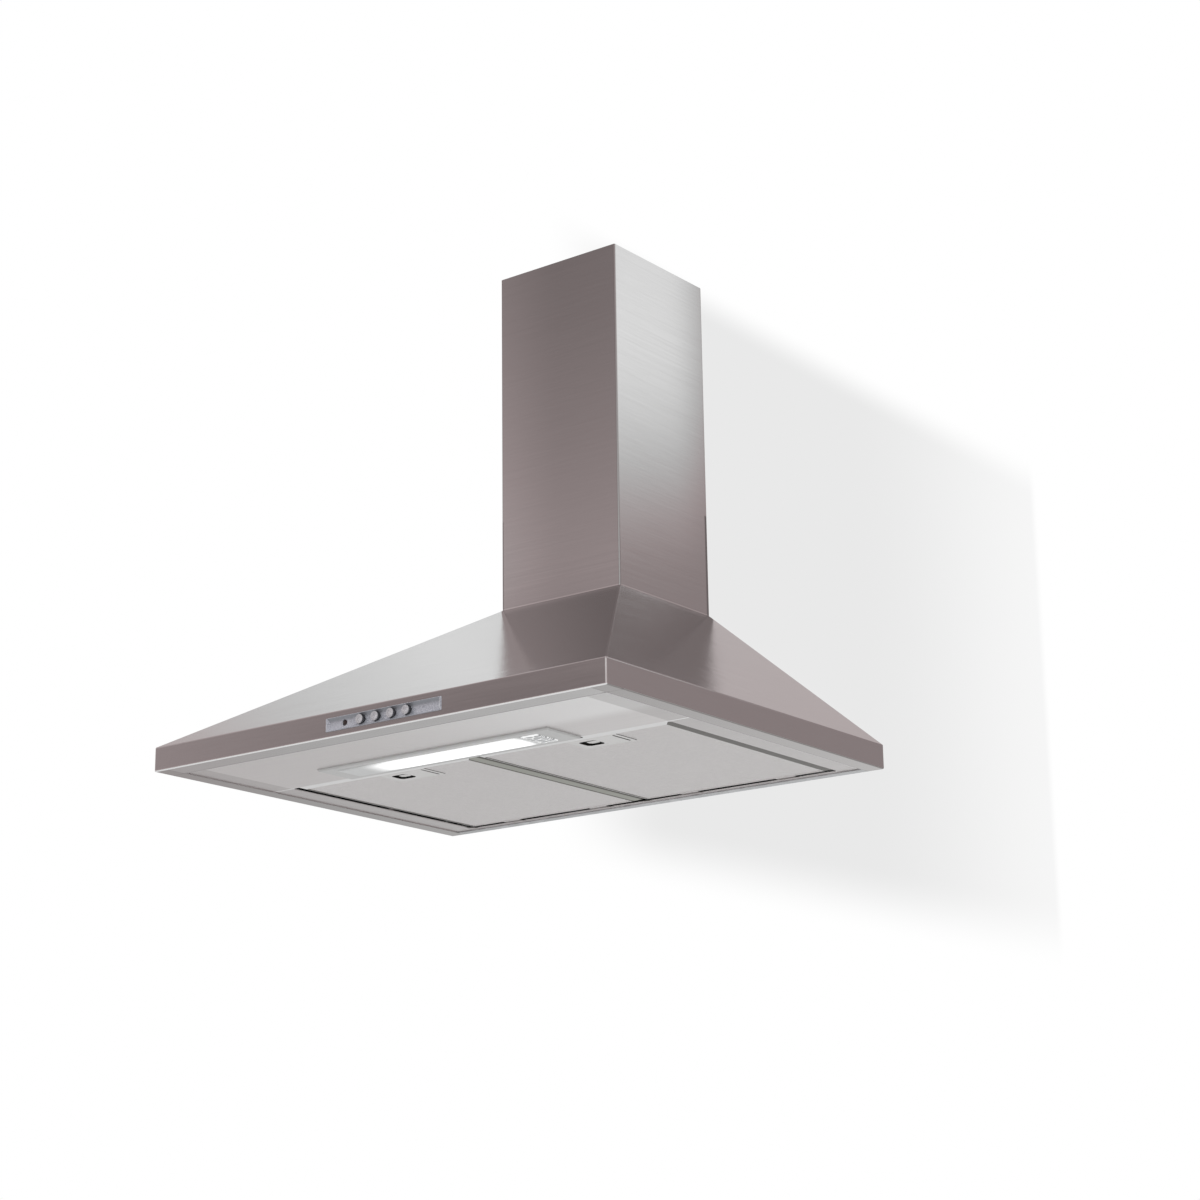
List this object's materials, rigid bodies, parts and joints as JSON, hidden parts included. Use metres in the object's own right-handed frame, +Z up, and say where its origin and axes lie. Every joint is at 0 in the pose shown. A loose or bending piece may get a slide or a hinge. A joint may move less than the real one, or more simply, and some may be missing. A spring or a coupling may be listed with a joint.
{
  "type": "chimney range hood",
  "caption": "Wall-mounted pyramid range hood with a telescoping chimney, drop-down grease filters, a lamp and push buttons.",
  "frame": {"origin": "on the wall plane, midway between the two hanging slots of the rear panel", "axes": "+X to the cook's right, +Y into the wall, +Z up"},
  "size_m": [0.6, 0.4888, 0.6082],
  "materials": {
    "brushed_steel": "satin brushed stainless steel",
    "filter_aluminium": "satin",
    "filter_mesh": "layered expanded mesh, satin",
    "handle_plastic": "light grey, satin",
    "lamp_frame": "light grey, satin",
    "diffuser": "translucent white, frosted",
    "lamp_glass": "white coated tube",
    "white_plastic": "matt",
    "white_sheet": "white enamel",
    "satin_silver": "satin silver paint",
    "button_silver": "satin silver paint",
    "pilot_dark": "dark lens",
    "galvanised_sheet": "zinc coated",
    "zinc_steel": "zinc plated",
    "shaft_steel": "ground",
    "spring_steel": "bright wire",
    "bronze": "sintered",
    "black_plastic": "moulded",
    "grey_plastic": "moulded",
    "black_rubber": "matt"
  },
  "bodies": {
    "hood": {"ballast": "black_plastic", "blower_housing_left": "grey_plastic", "blower_housing_right": "grey_plastic", "cable_clips": "black_plastic", "cable_grommet": "black_rubber", "canopy_shell": "brushed_steel", "capacitor": "grey_plastic", "chimney_screws": "zinc_steel", "collar_gasket": "black_rubber", "collar_screws": "zinc_steel", "control_cable": "black_rubber", "control_fascia": "satin_silver", "flap_pin": "zinc_steel", "inlet_guard": "black_plastic", "lamp_bezel": "lamp_frame", "lamp_holder": "white_plastic", "lamp_lens": "diffuser", "lamp_reflector": "white_sheet", "lamp_tube": "lamp_glass", "lower_chimney": "brushed_steel", "motor_bracket": "galvanised_sheet", "motor_bushes": "bronze", "motor_can": "galvanised_sheet", "motor_grommets": "black_rubber", "motor_screws": "zinc_steel", "outlet_collar": "grey_plastic", "pilot_lens": "pilot_dark", "rear_panel": "galvanised_sheet", "switch_block": "black_plastic", "terminal_box": "grey_plastic", "terminal_box_lid": "grey_plastic", "top_plate": "galvanised_sheet", "underside_panel": "brushed_steel"},
    "filter_left": {"filter_frame_left": "filter_aluminium", "filter_mesh_left": "filter_mesh", "filter_handle_left": "handle_plastic", "latch_spring_left": "spring_steel"},
    "filter_right": {"filter_frame_right": "filter_aluminium", "filter_mesh_right": "filter_mesh", "filter_handle_right": "handle_plastic", "latch_spring_right": "spring_steel"},
    "latch_left": {"latch_left": "handle_plastic"},
    "latch_right": {"latch_right": "handle_plastic"},
    "button_1": {"button_1": "button_silver"},
    "button_2": {"button_2": "button_silver"},
    "button_3": {"button_3": "button_silver"},
    "button_4": {"button_4": "button_silver"},
    "fan": {"fan_wheel": "black_plastic", "motor_shaft": "shaft_steel"},
    "flap_front": {"flap_front": "grey_plastic"},
    "flap_rear": {"flap_rear": "grey_plastic"},
    "upper_chimney": {"upper_chimney": "brushed_steel", "chimney_bracket": "galvanised_sheet", "bracket_screws": "zinc_steel"}
  },
  "joints": [
    {"name": "filter_left_drop", "type": "hinge", "parent": "hood", "child": "filter_left", "pos_m": [0, -0.0237, -0.144], "axis": [1, 0, 0], "range_deg": [0, 60]},
    {"name": "latch_left_slide", "type": "slide", "parent": "filter_left", "child": "latch_left", "axis": [0, 1, 0], "range_m": [0, 0.006], "stiffness_N_per_m": 400, "deforming": ["latch_spring_left"]},
    {"name": "filter_right_drop", "type": "hinge", "parent": "hood", "child": "filter_right", "pos_m": [0, -0.0237, -0.144], "axis": [1, 0, 0], "range_deg": [0, 60]},
    {"name": "latch_right_slide", "type": "slide", "parent": "filter_right", "child": "latch_right", "axis": [0, 1, 0], "range_m": [0, 0.006], "stiffness_N_per_m": 400, "deforming": ["latch_spring_right"]},
    {"name": "button_1_press", "type": "slide", "parent": "hood", "child": "button_1", "axis": [0, 1, 0], "range_m": [0, 0.003], "stiffness_N_per_m": 400},
    {"name": "button_2_press", "type": "slide", "parent": "hood", "child": "button_2", "axis": [0, 1, 0], "range_m": [0, 0.003], "stiffness_N_per_m": 400},
    {"name": "button_3_press", "type": "slide", "parent": "hood", "child": "button_3", "axis": [0, 1, 0], "range_m": [0, 0.003], "stiffness_N_per_m": 400},
    {"name": "button_4_press", "type": "slide", "parent": "hood", "child": "button_4", "axis": [0, 1, 0], "range_m": [0, 0.003], "stiffness_N_per_m": 400},
    {"name": "fan_spin", "type": "hinge", "parent": "hood", "child": "fan", "pos_m": [0, -0.1215, -0.047], "axis": [1, 0, 0], "continuous": true},
    {"name": "flap_rear_lift", "type": "hinge", "parent": "hood", "child": "flap_rear", "pos_m": [0, -0.0845, 0.0633], "axis": [1, 0, 0], "range_deg": [0, 80]},
    {"name": "flap_front_lift", "type": "hinge", "parent": "hood", "child": "flap_front", "pos_m": [0, -0.0845, 0.0633], "axis": [-1, 0, 0], "range_deg": [0, 80]},
    {"name": "chimney_extend", "type": "slide", "parent": "hood", "child": "upper_chimney", "axis": [0, 0, 1], "range_m": [0, 0.33]}
  ]
}
